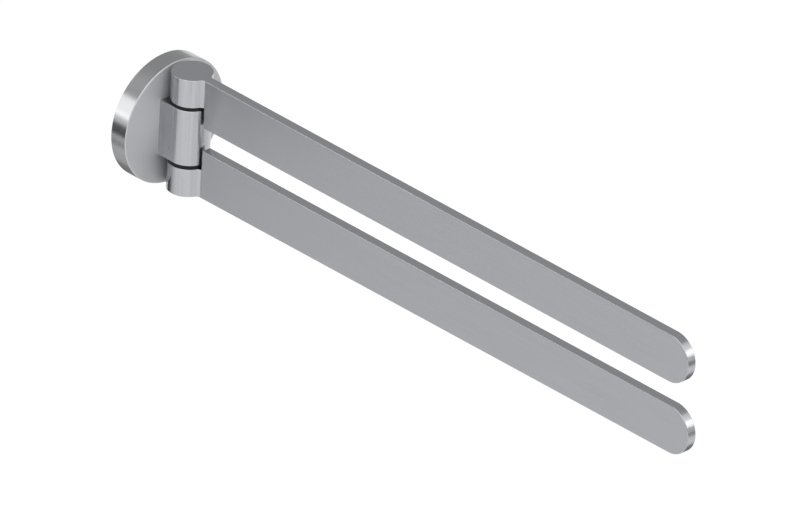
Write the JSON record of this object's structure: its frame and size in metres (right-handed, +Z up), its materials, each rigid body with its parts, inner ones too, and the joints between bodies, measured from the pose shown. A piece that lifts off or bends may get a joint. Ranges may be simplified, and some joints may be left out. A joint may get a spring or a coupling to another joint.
{
  "type": "swing arm towel bar",
  "caption": "Wall-mounted towel bar: a round rosette with a hinge post carries flat blade arms, one above the other, that swing sideways about an upright pin.",
  "frame": {"origin": "centre of the rosette on the wall plane", "axes": "+X points out of the wall along the arms at rest, +Z points up, and the hinge axis is upright at x = 20.2 mm"},
  "size_m": [0.3594, 0.0636, 0.0636],
  "materials": {
    "satin_stainless": "satin",
    "zinc_plated_steel": "satin",
    "bright_steel": "satin",
    "blackened_steel": "satin",
    "black_acetal": "satin",
    "black_rubber": "matte"
  },
  "bodies": {
    "wall_base": {"wall_plate": "zinc_plated_steel", "rosette": "satin_stainless", "rosette_grub": "blackened_steel", "locating_pin": "bright_steel", "hinge_post": "satin_stainless", "post_screw": "bright_steel", "lock_washer": "bright_steel", "upper_dowel": "bright_steel", "lower_dowel": "bright_steel", "pivot_pin": "bright_steel", "upper_washer": "black_acetal", "upper_ring": "black_rubber", "lower_washer": "black_acetal", "lower_ring": "black_rubber"},
    "upper_arm": {"upper_arm": "satin_stainless", "upper_bush": "black_acetal", "upper_grub": "blackened_steel"},
    "lower_arm": {"lower_arm": "satin_stainless", "lower_bush": "black_acetal", "lower_grub": "blackened_steel"}
  },
  "joints": [
    {"name": "upper_swing", "type": "hinge", "parent": "wall_base", "child": "upper_arm", "pos_m": [0.0202, 0, 0], "axis": [0, 0, 1], "range_deg": [-90, 90]},
    {"name": "lower_swing", "type": "hinge", "parent": "wall_base", "child": "lower_arm", "pos_m": [0.0202, 0, 0], "axis": [0, 0, 1], "range_deg": [-90, 90]}
  ]
}
